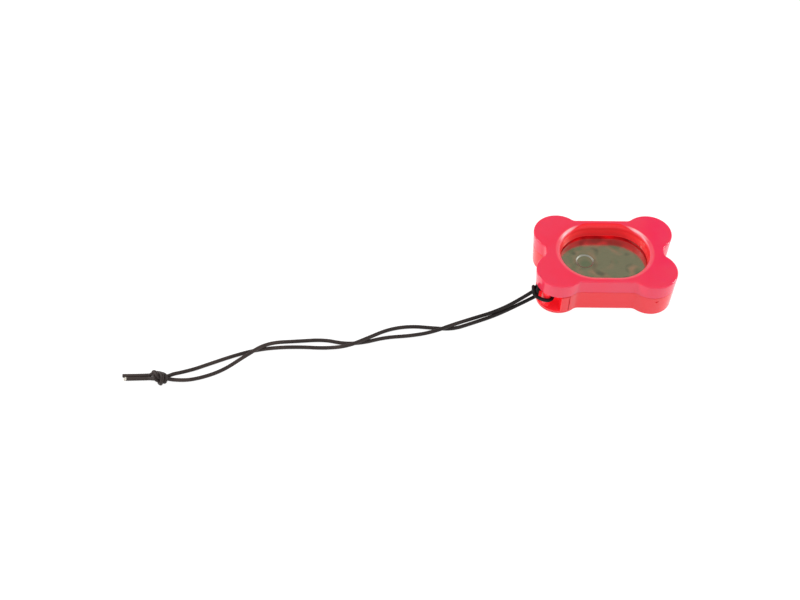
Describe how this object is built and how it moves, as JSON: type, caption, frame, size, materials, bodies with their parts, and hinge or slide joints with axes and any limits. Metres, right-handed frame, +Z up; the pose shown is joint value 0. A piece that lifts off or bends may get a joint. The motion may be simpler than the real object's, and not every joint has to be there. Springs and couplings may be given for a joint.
{
  "type": "clicker trainer",
  "caption": "Bone-shaped hand clicker: a dimpled spring-steel strip in a thumb well of a two-part plastic case, with a doubled elastic wrist cord on a recessed post.",
  "frame": {"origin": "centre of the case's flat underside", "axes": "+X along the case towards the strip's free end, +Y towards the back, away from the lanyard recess, +Z up out of the thumb well"},
  "size_m": [0.247, 0.0895, 0.0193],
  "materials": {
    "case_plastic": "moulded pink-red plastic, satin gloss",
    "spring_steel": "bright rolled spring steel, polished",
    "elastic_cord": "black braided elastic cord"
  },
  "bodies": {
    "case": {"top_shell": "case_plastic", "bottom_shell": "case_plastic", "spring_clamped_end": "spring_steel", "cord_turn": "elastic_cord", "cord_hitch": "elastic_cord", "cord_strand_back": "elastic_cord", "cord_strand_front": "elastic_cord", "cord_end_knot": "elastic_cord", "cord_tail_long": "elastic_cord", "cord_tail_short": "elastic_cord"},
    "blade": {"spring_blade": "spring_steel"}
  },
  "joints": [
    {"name": "blade_press", "type": "hinge", "parent": "case", "child": "blade", "pos_m": [-0.0208, 0, 0.01192], "axis": [0, 1, 0], "range_deg": [0, 3.5], "stiffness_Nm_per_rad": 3}
  ]
}
